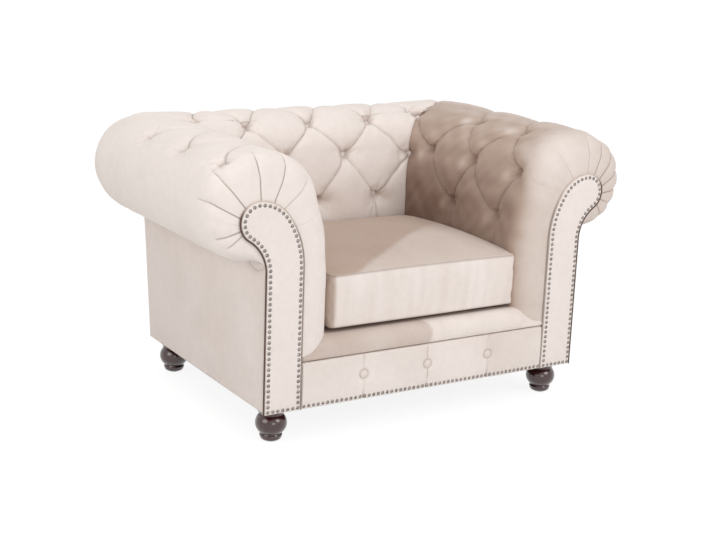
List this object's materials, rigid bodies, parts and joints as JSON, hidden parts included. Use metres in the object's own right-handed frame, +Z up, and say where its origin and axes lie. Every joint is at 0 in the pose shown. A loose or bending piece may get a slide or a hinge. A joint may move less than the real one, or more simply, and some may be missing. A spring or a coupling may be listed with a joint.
{
  "type": "armchair",
  "caption": "Low tufted armchair with rolled arms and back of one height, nailed scroll facings, a loose crowned seat cushion and turned bun feet.",
  "frame": {"origin": "on the floor under the middle of the chair's outer box", "axes": "+X to the right as the front is seen, +Y to the back, +Z up"},
  "size_m": [1.286, 0.8746, 0.7401],
  "materials": {
    "velour": "matte",
    "piping": "matte",
    "polished_mahogany": "gloss",
    "frame_timber": "matte",
    "antique_nail": "satin",
    "spring_steel": "satin",
    "zinc_steel": "satin",
    "jute_webbing": "matte",
    "grey_felt": "matte",
    "black_cloth": "matte",
    "zip_nylon": "matte"
  },
  "bodies": {
    "chair": {"arm_buttons_left": "velour", "arm_buttons_right": "velour", "arm_front_board_left": "frame_timber", "arm_front_board_right": "frame_timber", "arm_pad_left": "velour", "arm_pad_right": "velour", "arm_slat_left": "frame_timber", "arm_slat_right": "frame_timber", "arm_tack_rail_left": "frame_timber", "arm_tack_rail_right": "frame_timber", "arm_top_rail_left": "frame_timber", "arm_top_rail_right": "frame_timber", "arm_webbing_left": "jute_webbing", "arm_webbing_right": "jute_webbing", "back_buttons": "velour", "back_centre_post": "frame_timber", "back_pad": "velour", "back_slat": "frame_timber", "back_tack_rail": "frame_timber", "back_top_rail": "frame_timber", "back_webbing": "jute_webbing", "border_buttons": "velour", "border_nails": "antique_nail", "corner_blocks": "frame_timber", "deck_pad": "velour", "dust_cover": "black_cloth", "facing_left": "velour", "facing_nails_left": "antique_nail", "facing_nails_right": "antique_nail", "facing_right": "velour", "facing_welt_left": "piping", "facing_welt_right": "piping", "foot_bolts": "zinc_steel", "foot_front_left": "polished_mahogany", "foot_front_right": "polished_mahogany", "foot_nuts": "zinc_steel", "foot_rear_left": "polished_mahogany", "foot_rear_right": "polished_mahogany", "front_border": "velour", "front_lip": "velour", "glides": "grey_felt", "outside_arm_left": "velour", "outside_arm_right": "velour", "outside_back": "velour", "rear_post_left": "frame_timber", "rear_post_right": "frame_timber", "seat_rail_front": "frame_timber", "seat_rail_left": "frame_timber", "seat_rail_rear": "frame_timber", "seat_rail_right": "frame_timber", "seat_springs": "spring_steel", "spring_clips": "zinc_steel", "spring_insulator": "grey_felt"},
    "cushion": {"seat_cushion": "velour", "zip_tape": "zip_nylon"},
    "zip_slider": {"zip_slider": "zinc_steel"}
  },
  "joints": [
    {"name": "cushion_lift", "type": "slide", "parent": "chair", "child": "cushion", "axis": [0, 0, 1], "range_m": [0, 0.35]},
    {"name": "zip_slide", "type": "slide", "parent": "cushion", "child": "zip_slider", "axis": [-1, 0, 0], "range_m": [0, 0.416]}
  ]
}
